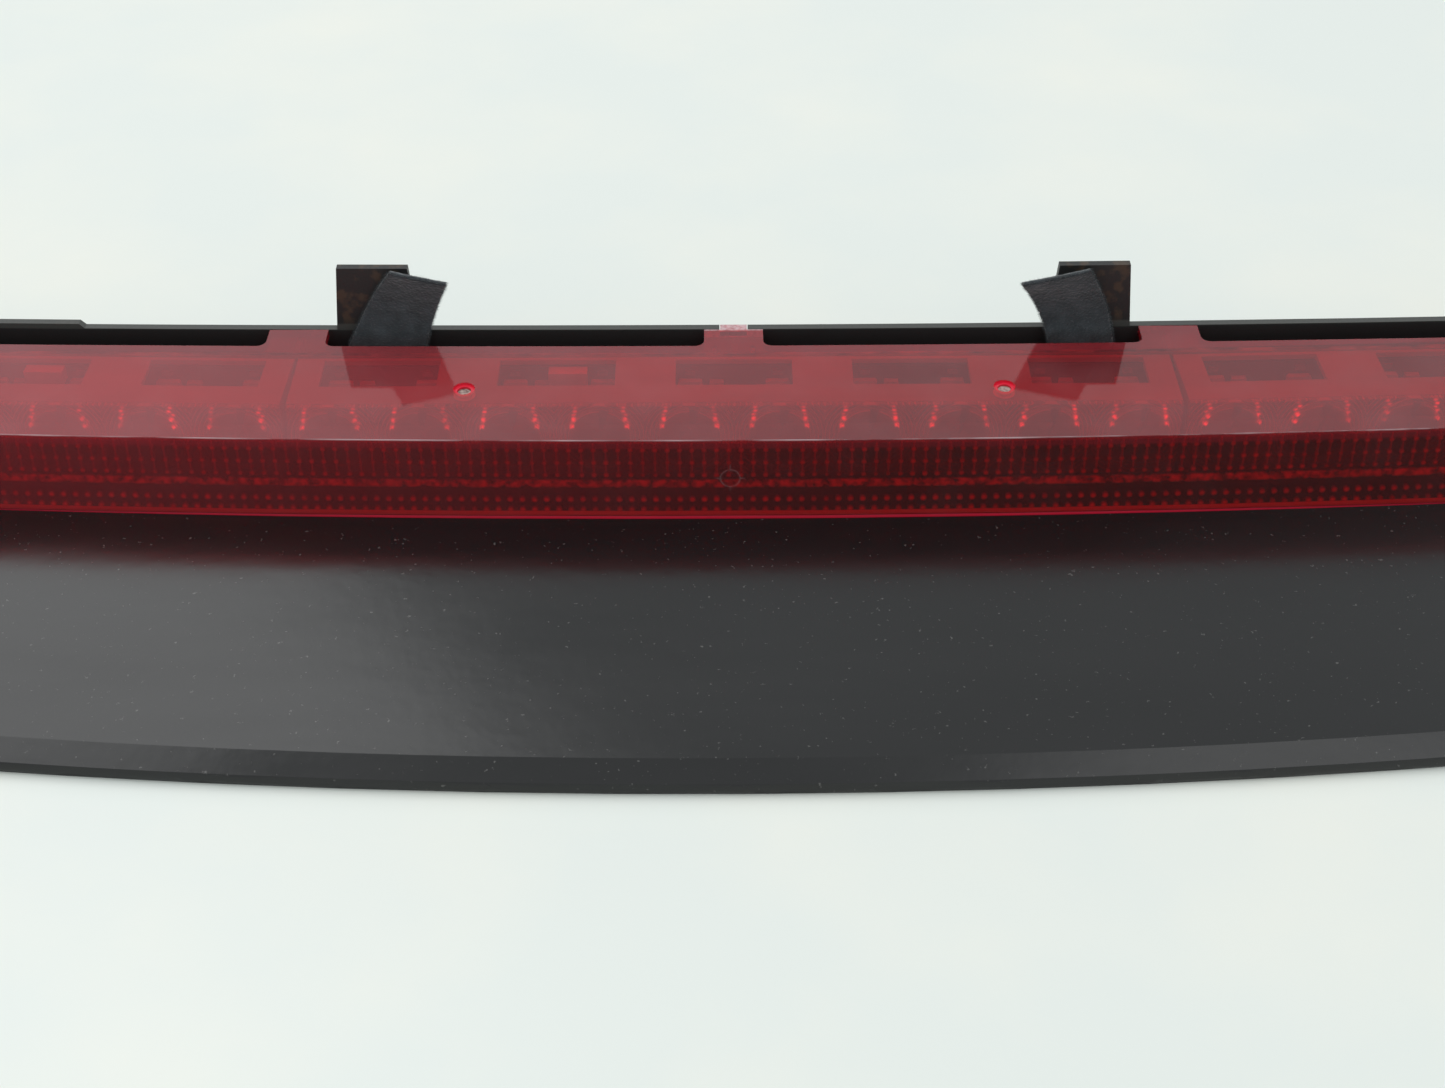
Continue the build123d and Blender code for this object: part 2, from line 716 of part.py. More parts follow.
for name, place in zip(module_names, module_places()):
    nodes["led_frame_" + name] = place * make_led_frame(name == "centre")
    nodes["optic_strip_" + name] = place * make_optic_strip()
    nodes["circuit_board_" + name] = place * make_board()
    nodes["leds_" + name] = [place * led for led in make_leds()]
    nodes["resistors_" + name] = [place * part for part in make_resistors()]
    nodes["diodes_" + name] = [place * part for part in make_diodes()]

# The origin is the centre of the footprint, on the surface that the lamp rests on.
front_extent = -apron_depth
rear_extent = wall_outer + bow(panel_half, rear_bow_radius)
centring = Pos(0, -(front_extent + rear_extent) / 2, 0)

for name, piece in nodes.items():
    solids = []
    for item in piece if isinstance(piece, list) else [piece]:
        solids += item.solids()
    moved = [centring * solid for solid in solids]
    shape = moved[0] if len(moved) == 1 else Compound(children=moved)
    export_step(shape, "parts/" + name + ".step")
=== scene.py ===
import bpy
import json
import math
import random
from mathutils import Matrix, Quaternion, Vector

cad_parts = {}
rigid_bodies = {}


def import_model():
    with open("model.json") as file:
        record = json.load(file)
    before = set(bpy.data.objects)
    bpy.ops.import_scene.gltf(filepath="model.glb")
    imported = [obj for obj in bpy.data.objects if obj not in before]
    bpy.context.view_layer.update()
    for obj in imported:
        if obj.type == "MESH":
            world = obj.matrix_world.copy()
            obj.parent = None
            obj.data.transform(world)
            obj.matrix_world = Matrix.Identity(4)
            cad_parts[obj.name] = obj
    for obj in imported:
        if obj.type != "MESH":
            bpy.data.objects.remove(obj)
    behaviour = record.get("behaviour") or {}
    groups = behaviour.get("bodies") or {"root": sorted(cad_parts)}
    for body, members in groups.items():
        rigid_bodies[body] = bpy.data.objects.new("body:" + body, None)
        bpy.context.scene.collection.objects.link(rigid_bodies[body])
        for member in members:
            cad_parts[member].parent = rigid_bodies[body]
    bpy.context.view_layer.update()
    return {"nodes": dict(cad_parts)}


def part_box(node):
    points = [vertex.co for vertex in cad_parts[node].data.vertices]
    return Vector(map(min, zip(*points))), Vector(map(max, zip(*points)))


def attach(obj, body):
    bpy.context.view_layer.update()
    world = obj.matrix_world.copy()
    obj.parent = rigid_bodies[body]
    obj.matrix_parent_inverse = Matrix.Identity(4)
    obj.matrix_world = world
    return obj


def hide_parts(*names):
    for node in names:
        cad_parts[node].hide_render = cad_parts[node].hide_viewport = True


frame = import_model()

# ---------------------------------------------------------------- table, camera and light
# The lamp lies on a pale table under a wide, soft, slightly cool light.
# The camera looks down on the middle stretch of the lamp from the lens side.
lens_low, lens_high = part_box("lens")
ridge_y = lens_low.y + 0.0015
lamp_top = lens_high.z
table_size = 6.0
camera_pitch = 37.3
camera_roll = -0.28
camera_side, camera_back, camera_rise = -0.0038, 0.52427, 0.36132
focal_length = 54.16
room_brightness = 0.78
scene = bpy.context.scene
scene.view_settings.view_transform = "Standard"

bpy.ops.object.select_all(action="DESELECT")
bpy.ops.mesh.primitive_plane_add(size=table_size)
table = bpy.context.object
table.name = "table"


class Recipe:
    """A material under construction: nodes are added by type and wired by socket name."""

    def __init__(self, name):
        self.material = bpy.data.materials.new(name)
        self.material.use_nodes = True
        self.tree = self.material.node_tree
        self.tree.nodes.clear()
        self.output = self.tree.nodes.new("ShaderNodeOutputMaterial")
        self.place = self.add("ShaderNodeTexCoord").outputs["Object"]

    def add(self, kind, **inputs):
        node = self.tree.nodes.new(kind)
        for key, value in inputs.items():
            self.feed(node, key.replace("_", " "), value)
        return node

    def feed(self, node, key, value):
        socket = node.inputs[int(key)] if key.isdigit() else node.inputs[key]
        if isinstance(value, bpy.types.NodeSocket):
            self.tree.links.new(value, socket)
        else:
            socket.default_value = value

    def noise(self, scale, detail=3.0, stretch=(1, 1, 1)):
        mapping = self.add("ShaderNodeMapping", Vector=self.place, Scale=stretch)
        node = self.add("ShaderNodeTexNoise", Vector=mapping.outputs["Vector"], Scale=scale, Detail=detail)
        return node.outputs["Fac"]

    def ramp(self, value, low, high, start=0.0, end=1.0):
        node = self.add("ShaderNodeMapRange", Value=value)
        node.inputs["From Min"].default_value = low
        node.inputs["From Max"].default_value = high
        node.inputs["To Min"].default_value = start
        node.inputs["To Max"].default_value = end
        return node.outputs["Result"]

    def sums(self, operation, a, b=0.0):
        node = self.tree.nodes.new("ShaderNodeMath")
        node.operation = operation
        for index, value in enumerate((a, b)):
            self.feed(node, str(index), value)
        return node.outputs["Value"]

    def product(self, first, *others):
        for other in others:
            first = self.sums("MULTIPLY", first, other)
        return first

    def largest(self, first, *others):
        for other in others:
            first = self.sums("MAXIMUM", first, other)
        return first

    def reach(self, a, b):
        """Length of the diagonal of two offsets."""
        return self.sums("SQRT", self.sums("ADD", self.product(a, a), self.product(b, b)))

    def apart(self, value, place):
        """How far a value is from a place, either way."""
        return self.sums("ABSOLUTE", self.sums("SUBTRACT", value, place))

    def mix(self, amount, first, second):
        """A share of the second shader over the first."""
        node = self.add("ShaderNodeMixShader")
        self.feed(node, "0", amount)
        self.feed(node, "1", first.outputs[0])
        self.feed(node, "2", second.outputs[0])
        return node

    def blend(self, amount, first, second):
        node = self.tree.nodes.new("ShaderNodeMix")
        node.data_type = "RGBA"
        self.feed(node, "0", amount)
        self.feed(node, "6", first)
        self.feed(node, "7", second)
        return node.outputs[2]

    def bump(self, height, distance, strength=1.0):
        node = self.add("ShaderNodeBump", Height=height, Distance=distance, Strength=strength)
        return node.outputs["Normal"]

    def axes(self):
        node = self.add("ShaderNodeSeparateXYZ", Vector=self.place)
        return node.outputs["X"], node.outputs["Y"], node.outputs["Z"]

    def finish(self, shader):
        self.tree.links.new(shader.outputs[0], self.output.inputs["Surface"])
        return self.material


def dress(node, material):
    """Puts one material on a CAD node or a new piece."""
    piece = frame["nodes"][node] if isinstance(node, str) else node
    piece.data.materials.clear()
    piece.data.materials.append(material)


paint = Recipe("table_paint")
stains = paint.ramp(paint.noise(9.0, 6.0), 0.42, 0.72)
tone = paint.blend(stains, (0.80, 0.84, 0.80, 1), (0.86, 0.87, 0.80, 1))
table_shader = paint.add("ShaderNodeBsdfPrincipled", Base_Color=tone, Roughness=0.35)
dress(table, paint.finish(table_shader))

world = bpy.data.worlds.new("pale_room")
scene.world = world
world.use_nodes = True
backdrop = world.node_tree.nodes["Background"]
backdrop.inputs["Color"].default_value = (0.93, 0.97, 0.98, 1)
backdrop.inputs["Strength"].default_value = room_brightness
soft_lights = (("window_light", (-1.0, 0.9, 1.9), 1.6, 13.0),
               ("lamp_light", (0.9, -0.5, 2.1), 1.4, 7.0))
for name, place, size, power in soft_lights:
    data = bpy.data.lights.new(name, "AREA")
    data.size, data.energy = size, power
    light = bpy.data.objects.new(name, data)
    light.location = place
    light.rotation_euler = (-Vector(place)).to_track_quat("-Z", "Y").to_euler()
    scene.collection.objects.link(light)

camera_data = bpy.data.cameras.new("camera")
camera_data.lens = focal_length
camera_data.sensor_width = 36.0
camera_data.clip_start, camera_data.clip_end = 0.02, 20.0
camera = bpy.data.objects.new("camera", camera_data)
camera.location = (camera_side, ridge_y - camera_back, lamp_top + camera_rise)
camera.rotation_mode = "QUATERNION"
pitch, roll = math.radians(camera_pitch), math.radians(camera_roll)
look = Vector((0, math.cos(pitch), -math.sin(pitch)))
camera.rotation_quaternion = look.to_track_quat("-Z", "Y") @ Quaternion((0, 0, 1), roll)
scene.collection.objects.link(camera)
scene.camera = camera

# ---------------------------------------------------------------- trim panel
# Injection-moulded panel in polished black plastic, from the lens foot to the rolled lip.
# It carries fine wiping marks, soft smears and a scatter of pale dust.
gloss = Recipe("polished_black")
wipes = gloss.noise(38.0, 5.0, (0.35, 1.6, 1.0))
dust = gloss.ramp(gloss.noise(700.0, 2.0), 0.69, 0.77)
smears = gloss.ramp(gloss.noise(6.0, 4.0, (1.0, 2.2, 1.0)), 0.45, 0.75)
black = gloss.blend(smears, (0.0065, 0.0067, 0.0072, 1), (0.0105, 0.0108, 0.0115, 1))
black = gloss.blend(gloss.product(dust, 0.5), black, (0.16, 0.155, 0.15, 1))
polish = gloss.ramp(wipes, 0.3, 0.75, 0.15, 0.24)
gloss_shader = gloss.add("ShaderNodeBsdfPrincipled", Base_Color=black, Roughness=polish,
                         Normal=gloss.bump(gloss.noise(160.0, 2.0), 0.00004))
dress("trim_panel", gloss.finish(gloss_shader))

# ---------------------------------------------------------------- lamp housing
# Satin black moulded tray. The tongues keep a brown crust of old adhesive round the felt,
# and the top face of the rear wall is coloured a lighter grey.
satin = Recipe("satin_black")
x, y, z = satin.axes()
grain = satin.noise(1400.0, 2.0)
crust = satin.ramp(satin.noise(210.0, 6.0), 0.52, 0.62)
crust = satin.product(crust, satin.ramp(z, lamp_top + 0.001, lamp_top + 0.004))
# The top face of the rear wall is coloured a lighter grey, evenly along its length.
lighter_rim_top = satin.ramp(z, lamp_top - 0.0004, lamp_top - 0.0001, 0.0, 0.30)
below_tongue = satin.ramp(z, lamp_top + 0.0018, lamp_top + 0.0024, 1.0, 0.0)
lighter_rim_top = satin.product(lighter_rim_top, below_tongue)
shade = satin.blend(crust, (0.018, 0.018, 0.018, 1), (0.055, 0.036, 0.024, 1))
shade = satin.blend(lighter_rim_top, shade, (0.14, 0.145, 0.13, 1))
sheen = satin.ramp(grain, 0.3, 0.7, 0.42, 0.58)
satin_shader = satin.add("ShaderNodeBsdfPrincipled", Base_Color=shade, Roughness=sheen,
                         Normal=satin.bump(grain, 0.00003))
dress("lamp_housing", satin.finish(satin_shader))

# ---------------------------------------------------------------- lens
# Clear red acrylic, moulded in one piece and bonded along its foot and rear edge.
# Dust marks the ridge and the centre tab's nose, and the foot's brighter line is painted edge light in solid
# red.
# The moulding gate left a small ring with four ticks on the front face.
ridge_radius = 4.7
soft_edge = 0.0004
lens_underside = lamp_top - 0.0030
foot_top = lens_low.z + 0.0017
foot_depth = 0.0022
hole_x, hole_y, hole_recess = 0.0819, ridge_y + 0.0285, 0.0033
rear_band, pocket_front, nose_depth = 0.0462, 0.0505, 0.0606
gate_x, gate_drop, gate_radius, gate_tick = -0.0014, 0.0131, 0.0029, 0.0016
hazy_left, hazy_right = -0.25, 0.05


def behind_ridge(recipe):
    """How far a point lies behind the bowed ridge line."""
    x, y, z = recipe.axes()
    sweep = recipe.sums("DIVIDE", recipe.product(x, x), 2 * ridge_radius)
    return recipe.sums("SUBTRACT", recipe.sums("SUBTRACT", y, ridge_y), sweep)


red = Recipe("red_acrylic")
x, y, z = red.axes()
depth = behind_ridge(red)
tint = red.add("ShaderNodeBsdfTransparent", Color=(0.84, 0.060, 0.100, 1))
shine = red.add("ShaderNodeBsdfGlossy", Color=(1, 1, 1, 1), Roughness=0.05)
# Opaque red for the solid-looking body, also used as painted edge light along the foot.
solid_red_and_edge_light = red.add("ShaderNodeBsdfPrincipled", Base_Color=(0.86, 0.012, 0.050, 1), Roughness=0.25)
haze = red.add("ShaderNodeBsdfDiffuse", Color=(0.66, 0.52, 0.54, 1))
outward = red.sums("SUBTRACT", 1.0, red.add("ShaderNodeNewGeometry").outputs["Backfacing"])
bare = red.mix(red.product(red.add("ShaderNodeFresnel", IOR=1.49).outputs[0], outward), tint, shine)

# Where the body looks solid red: the stake holes, the rear edge and the hooks. Along the foot the solid red
# is painted edge light.
foot_edge_light = red.product(red.ramp(z, foot_top, foot_top - soft_edge),
                      red.ramp(depth, foot_depth, foot_depth - soft_edge), 0.75)
hole_reach = red.reach(red.sums("SUBTRACT", red.sums("ABSOLUTE", x), hole_x), red.sums("SUBTRACT", y, hole_y))
at_hole = red.product(red.ramp(hole_reach, hole_recess + 0.0001, hole_recess),
                      red.ramp(z, lamp_top - 0.0001, lamp_top - 0.0002), 0.75)
at_rear = red.product(red.ramp(depth, rear_band, rear_band + 0.0013), 0.16)
on_hooks = red.product(red.ramp(z, lens_underside, lens_underside - soft_edge),
                       red.ramp(depth, pocket_front, pocket_front + 0.0015), 0.7)
cast = red.product(red.ramp(z, lens_underside, lens_underside + soft_edge),
                   red.ramp(red.noise(14.0), 0.3, 0.7, 0.07, 0.10))
cast = red.sums("ADD", cast, red.ramp(x, hazy_right, hazy_left, 0.0, 0.08))
body = red.mix(red.largest(foot_edge_light, at_hole, at_rear, on_hooks, cast), bare, solid_red_and_edge_light)

# The worn skin: scuffs and haze on top, dust on the ridge and the nose, and the gate mark.
on_top = red.ramp(z, lamp_top - soft_edge, lamp_top - 0.0001)
scuff = red.ramp(red.noise(55.0, 6.0), 0.45, 0.8, 0.032, 0.062)
film = red.sums("ADD", scuff, red.ramp(x, hazy_right, hazy_left, 0.0, 0.05))
film = red.product(film, red.ramp(on_top, 0.0, 1.0, 0.35, 1.0))
specks = red.ramp(red.noise(90.0, 5.0, (0.5, 1, 1)), 0.40, 0.66, 0.05, 0.55)
ridge_dust = red.product(red.ramp(red.sums("ABSOLUTE", depth), 0.00045, 0.0002), on_top, specks)
nose_dust = red.product(red.ramp(depth, nose_depth, nose_depth + 0.0010),
                        red.ramp(red.noise(700.0, 4.0), 0.35, 0.6, 0.35, 0.8))
film = red.largest(film, ridge_dust, nose_dust)
gate_dx = red.sums("SUBTRACT", x, gate_x)
gate_dz = red.sums("SUBTRACT", z, lamp_top - gate_drop)
gate_reach = red.reach(gate_dx, gate_dz)
gate_ring = red.ramp(red.apart(gate_reach, gate_radius), 0.00026, 0.00010)
off_tick = red.sums("MINIMUM", red.sums("ABSOLUTE", gate_dx), red.sums("ABSOLUTE", gate_dz))
ticks = red.product(red.ramp(off_tick, 0.00018, 0.00008),
                    red.ramp(gate_reach, gate_radius, gate_radius + 0.0001),
                    red.ramp(gate_reach, gate_radius + gate_tick + 0.0001, gate_radius + gate_tick))
on_face = red.ramp(depth, 0.0004, 0.0002)
gate_mark = red.product(red.largest(gate_ring, ticks), on_face, 0.10)
worn = red.mix(red.sums("ADD", film, gate_mark), body, haze)
dress("lens", red.finish(worn))

# ---------------------------------------------------------------- pillow optics
# The inner side of the lens's front wall is moulded in rows of small pillows that spread
# the light. They are one sheet of convex cells on the wall's inner face. Its material paints
# the light seen through them: a red light spot on each cell, faint red columns, a painted
# sparkling band of glints and a dark slot line across the middle.
pillow_rows = 6
pillow_width = 0.00364
pillow_height = 0.00414
pillow_bulge = 0.0007
pillow_steps = 5
pillow_skin = 0.0002
pillow_top = lens_underside
upper_row, upper_spacing, upper_spot = 0.0051, 0.0043, 0.00105
lower_row, lower_spacing, lower_spot = 0.0223, 0.0036, 0.00115
slot_drop, band_drop = 0.0149, 0.0017
sheet_half = (lens_high.x - lens_low.x) / 2 - 0.006
pillow_columns = int(2 * sheet_half / pillow_width)
wall_lean = 0.0015 / (lens_high.z - lens_low.z)
wall_thickness = 0.00255
bpy.ops.object.select_all(action="DESELECT")
bpy.ops.mesh.primitive_grid_add(x_subdivisions=pillow_columns * pillow_steps,
                                y_subdivisions=pillow_rows * pillow_steps, size=1)
pillows = bpy.context.object
pillows.name = "pillow_optics"
bpy.ops.object.mode_set(mode="EDIT")
bpy.ops.mesh.select_all(action="SELECT")
bpy.ops.mesh.extrude_region_move(TRANSFORM_OT_translate={"value": (0, 0, 1)})
bpy.ops.object.mode_set(mode="OBJECT")
for vertex in pillows.data.vertices:
    u, v, back = vertex.co
    along, up = (u + 0.5) * pillow_columns, (v + 0.5) * pillow_rows
    x = (along - pillow_columns / 2) * pillow_width
    z = pillow_top - pillow_rows * pillow_height + up * pillow_height
    wall = ridge_y + x * x / (2 * ridge_radius) + wall_thickness - (lamp_top - z) * wall_lean
    crown = 1 - (2 * (along % 1.0) - 1) ** 2, 1 - (2 * (up % 1.0) - 1) ** 2
    bulge = pillow_skin + pillow_bulge * (crown[0] + crown[1]) / 2 if back > 0.5 else 0.0
    vertex.co = (x, wall + bulge, z)
bpy.ops.object.mode_set(mode="EDIT")
bpy.ops.mesh.select_all(action="SELECT")
bpy.ops.mesh.normals_make_consistent(inside=False)
bpy.ops.object.mode_set(mode="OBJECT")
optic = Recipe("pillow_acrylic")
x, y, z = optic.axes()
shifted_x = optic.sums("ADD", x, pillow_columns % 2 * pillow_width / 2)
across = optic.sums("PINGPONG", shifted_x, pillow_width / 2)
off_column = optic.sums("SUBTRACT", pillow_width / 2, across)
drop = optic.sums("SUBTRACT", lamp_top, z)


def spots(first_row, spacing, size):
    """Round painted light spots where the columns cross rows of this spacing below the lens's top."""
    shifted = optic.sums("SUBTRACT", drop, first_row - spacing / 2)
    off_row = optic.sums("SUBTRACT", spacing / 2, optic.sums("PINGPONG", shifted, spacing / 2))
    return optic.ramp(optic.reach(off_row, off_column), size, size * 0.25)


above_slot = optic.ramp(drop, slot_drop, slot_drop - soft_edge)
upper_spots = optic.product(spots(upper_row, upper_spacing, upper_spot), above_slot, 0.62)
lower_spots = optic.product(spots(lower_row, lower_spacing, lower_spot), optic.ramp(drop, 0.0200, 0.0206))
strength = optic.ramp(optic.noise(60.0, 4.0, (1.0, 1.0, 2.5)), 0.35, 0.70, 0.30, 1.0)
dots = optic.product(optic.largest(upper_spots, lower_spots), strength)
column = optic.product(optic.ramp(off_column, 0.0009, 0.0001), optic.ramp(drop, slot_drop, 0.0120, 0.0, 0.16))
slot_line = optic.ramp(optic.apart(drop, slot_drop), 0.00022, 0.00042)
painted_sparkle = optic.ramp(optic.noise(420.0, 4.0), 0.40, 0.64, 0.12, 0.80)
band = optic.product(optic.ramp(optic.apart(drop, slot_drop + band_drop), 0.0017, 0.0008), painted_sparkle)
# Painted light: the lit red shader stands for light seen through the pillows. It is mixed in at the spots,
# the columns and the sparkling band, and left out along the dark slot line.
painted_light_share = optic.product(optic.largest(dots, column, band), slot_line)
clear = optic.add("ShaderNodeBsdfTransparent", Color=(0.62, 0.050, 0.070, 1))
painted_lit_red = optic.add("ShaderNodeBsdfPrincipled", Base_Color=(0.95, 0.020, 0.055, 1), Roughness=0.3)
passing = optic.mix(optic.ramp(painted_light_share, 0.0, 1.0, 0.075, 0.92), clear, painted_lit_red)
dress(pillows, optic.finish(passing))
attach(pillows, "root")

# ---------------------------------------------------------------- sealant
# Cured beads between lens and housing. The front one is dusty where it meets the trim panel.
sealant = Recipe("dusty_sealant")
crumbs = sealant.ramp(sealant.noise(260.0, 5.0, (0.4, 1, 1)), 0.35, 0.65)
bead = sealant.blend(crumbs, (0.05, 0.035, 0.03, 1), (0.42, 0.33, 0.29, 1))
seal_shader = sealant.add("ShaderNodeBsdfPrincipled", Base_Color=bead, Roughness=0.8)
seal_material = sealant.finish(seal_shader)
for node in ("lens_foot_seal", "lens_rear_seal"):
    dress(node, seal_material)

# ---------------------------------------------------------------- light frames
# Three light grey carriers hold the boards upright and frame the pairs of LEDs in windows.
# Plain moulded plastic with faint flow marks. The heat-stake heads are beige and crumbled.
carrier = Recipe("light_grey_carrier")
flow = carrier.noise(70.0, 4.0, (0.3, 1, 1))
grey = carrier.blend(carrier.ramp(flow, 0.35, 0.7), (0.34, 0.33, 0.32, 1), (0.43, 0.42, 0.41, 1))
x, y, z = carrier.axes()
stake_head = carrier.ramp(z, lamp_top - 0.0026, lamp_top - 0.0024)
crumble = carrier.ramp(carrier.noise(1100.0, 4.0), 0.35, 0.60)
crumbs = carrier.blend(crumble, (0.10, 0.05, 0.045, 1), (0.46, 0.36, 0.32, 1))
grey = carrier.blend(stake_head, grey, crumbs)
carrier_shader = carrier.add("ShaderNodeBsdfPrincipled", Base_Color=grey, Roughness=0.5,
                             Normal=carrier.bump(flow, 0.00005))
carrier_material = carrier.finish(carrier_shader)
for side in ("left", "centre", "right"):
    dress("led_frame_" + side, carrier_material)

# ---------------------------------------------------------------- ring optics
# Clear moulded strips, clipped to the front of the carriers. Before each LED stands a
# round stepped lens: a bulge at its centre and fine ring-shaped ridges round it.
led_pitch, leds_per_module, module_pitch, rear_radius = 0.0273, 10, 0.274, 9.0
optic_axis_z, strip_front, strip_depth = 0.0295, 0.0226, 0.0019
ring_count, ring_step, ring_height, ring_segments = 7, 0.00115, 0.0010, 40
ring_sink, ring_foot, plate_margin = 0.0004, 0.0005, 0.0008
bulge_radius, haze_ring_spacing = 0.0086, 0.0013
glint_spacing, lowest_glint, glint_column, glint_lean = 0.00255, 0.0037, 0.0091, 0.206
sides = ("left", "centre", "right")


def ring_material(name, centre_x):
    """Clear plastic with a faint haze. Along the ring arcs it carries painted highlights, the bulge is
    painted darker than its surround, and red glints beside each bulge are painted to glow.
    """
    recipe = Recipe(name)
    x, y, z = recipe.axes()
    to_gap = recipe.sums("PINGPONG", recipe.sums("SUBTRACT", x, centre_x), led_pitch / 2)
    beside = recipe.sums("SUBTRACT", led_pitch / 2, to_gap)
    above = recipe.sums("SUBTRACT", z, optic_axis_z)
    radius = recipe.reach(beside, above)
    # Painted highlights along the ring arcs outside the bulge, and the bulge painted darker than its
    # surround.
    wave = recipe.sums("SINE", recipe.product(radius, 2 * math.pi / haze_ring_spacing))
    rings = recipe.product(recipe.ramp(wave, 0.55, 0.95), recipe.ramp(radius, 0.0092, 0.0098))
    outside = recipe.ramp(radius, bulge_radius - 0.0002, bulge_radius + 0.0002)
    # Painted glints: columns of spots beside each bulge.
    lean = recipe.sums("ADD", beside, recipe.product(above, glint_lean))
    off_side = recipe.ramp(recipe.apart(lean, glint_column), 0.0009, 0.0002)
    shifted = recipe.sums("SUBTRACT", above, lowest_glint - glint_spacing / 2)
    climb = recipe.sums("PINGPONG", shifted, glint_spacing / 2)
    glint = recipe.product(off_side, recipe.ramp(climb, glint_spacing / 2 - 0.0007, glint_spacing / 2),
                           recipe.ramp(above, 0.0022, 0.0030),
                           recipe.ramp(recipe.noise(130.0), 0.35, 0.60, 0.15, 1.0))
    pass_through = recipe.add("ShaderNodeBsdfTransparent", Color=(0.86, 0.86, 0.86, 1))
    sparkle = recipe.add("ShaderNodeBsdfGlossy", Color=(1, 1, 1, 1), Roughness=0.08)
    haze_and_highlight_white = recipe.add("ShaderNodeBsdfDiffuse", Color=(0.90, 0.88, 0.88, 1))
    # The painted glints glow by emission.
    painted_glint_glow = recipe.add("ShaderNodeEmission", Color=(1.0, 0.55, 0.60, 1), Strength=1.6)
    tilt = recipe.add("ShaderNodeLayerWeight", Blend=0.5).outputs["Facing"]
    facing = recipe.mix(recipe.ramp(tilt, 0.25, 1.0, 0.04, 0.65), pass_through, sparkle)
    haze_and_painted_bulge_shade = recipe.ramp(recipe.noise(300.0), 0.3, 0.7, 0.05, 0.10)
    haze_and_painted_bulge_shade = recipe.sums("ADD", haze_and_painted_bulge_shade, recipe.product(outside, 0.10))
    haze_and_painted_light = recipe.mix(recipe.sums("ADD", haze_and_painted_bulge_shade, recipe.product(rings, 0.30)), facing, haze_and_highlight_white)
    with_painted_glints = recipe.mix(glint, haze_and_painted_light, painted_glint_glow)
    return recipe.finish(with_painted_glints)


for index, side in enumerate(sides):
    low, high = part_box("optic_strip_" + side)
    bpy.ops.object.select_all(action="DESELECT")
    for led in range(leds_per_module):
        bpy.ops.mesh.primitive_circle_add(vertices=ring_segments, radius=ring_step * 2, fill_type="TRIFAN")
        cell = bpy.context.object
        bpy.ops.object.mode_set(mode="EDIT")
        bpy.ops.mesh.select_all(action="DESELECT")
        bpy.ops.object.mode_set(mode="OBJECT")
        cell.data.vertices[ring_segments].co.z = ring_height
        for edge in cell.data.edges:
            edge.select = ring_segments not in edge.vertices
        bpy.ops.object.mode_set(mode="EDIT")
        bpy.ops.mesh.select_mode(type="EDGE")
        reach = ring_step * 2
        for ring in range(ring_count):
            for grow, rise in ((0.12, 1), (0.88, -1)):
                wider = reach + ring_step * grow
                bpy.ops.mesh.extrude_region_move(TRANSFORM_OT_translate={"value": (0, 0, rise * ring_height)})
                bpy.ops.transform.resize(value=(wider / reach, wider / reach, 1))
                reach = wider
        bpy.ops.mesh.extrude_region_move(TRANSFORM_OT_translate={"value": (0, 0, -ring_foot)})
        bpy.ops.mesh.edge_face_add()
        bpy.ops.object.mode_set(mode="OBJECT")
        for vertex in cell.data.vertices:
            x, y, z = vertex.co
            led_x = (led - (leds_per_module - 1) / 2) * led_pitch
            vertex.co = (x + led_x, -z + strip_front - ring_sink, y + optic_axis_z)
        cell.name = f"cell_{side}_{led}"
    bpy.ops.mesh.primitive_cube_add(size=1)
    plate = bpy.context.object
    plate.name = "ring_optics_" + side
    half = led_pitch * leds_per_module / 2 - plate_margin
    for vertex in plate.data.vertices:
        x, y, z = vertex.co
        tall = (high.z - low.z) * (z + 0.5)
        vertex.co = (2 * x * half, strip_front + strip_depth * (y + 0.5), low.z + tall)
    edges = plate.modifiers.new("soft_edges", "BEVEL")
    edges.width, edges.segments = 0.0003, 2
    bpy.ops.object.modifier_apply(modifier="soft_edges")
    for led in range(leds_per_module):
        bpy.data.objects[f"cell_{side}_{led}"].select_set(True)
    plate.select_set(True)
    bpy.context.view_layer.objects.active = plate
    bpy.ops.object.join()
    centre_x = (index - 1) * module_pitch
    turn = math.atan(centre_x / rear_radius)
    sweep = rear_radius - math.sqrt(rear_radius ** 2 - centre_x ** 2)
    for vertex in plate.data.vertices:
        x, y, z = vertex.co
        vertex.co = (centre_x + x * math.cos(turn) - y * math.sin(turn),
                     ridge_y + sweep + x * math.sin(turn) + y * math.cos(turn), z)
    bpy.ops.object.mode_set(mode="EDIT")
    bpy.ops.mesh.select_all(action="SELECT")
    bpy.ops.mesh.normals_make_consistent(inside=False)
    bpy.ops.object.mode_set(mode="OBJECT")
    dress(plate, ring_material("clear_optic_" + side, centre_x))
    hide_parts("optic_strip_" + side)
    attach(plate, "root")

# ---------------------------------------------------------------- boards and components
# Solder-masked boards stand behind the windows with LEDs, resistors, diodes,
# a regulator and a film capacitor on each, bridged at their ends.
mask = Recipe("board_laminate")
weave = mask.noise(900.0, 2.0)
traces = mask.ramp(mask.noise(140.0, 1.0, (0.2, 1, 1)), 0.52, 0.54)
green = mask.blend(traces, (0.012, 0.035, 0.018, 1), (0.020, 0.060, 0.028, 1))
mask_shader = mask.add("ShaderNodeBsdfPrincipled", Base_Color=green, Roughness=0.35,
                       Normal=mask.bump(weave, 0.00002))
mask_material = mask.finish(mask_shader)


def speckled(name, dark, light, roughness, scale, metallic=0.0):
    """A small part's finish: two close tones in fine mottling, with a trace of relief."""
    recipe = Recipe(name)
    mottle = recipe.noise(scale, 3.0)
    colour = recipe.blend(recipe.ramp(mottle, 0.35, 0.65), (*dark, 1), (*light, 1))
    shader = recipe.add("ShaderNodeBsdfPrincipled", Base_Color=colour, Roughness=roughness,
                        Metallic=metallic, Normal=recipe.bump(mottle, 0.00002))
    return recipe.finish(shader)


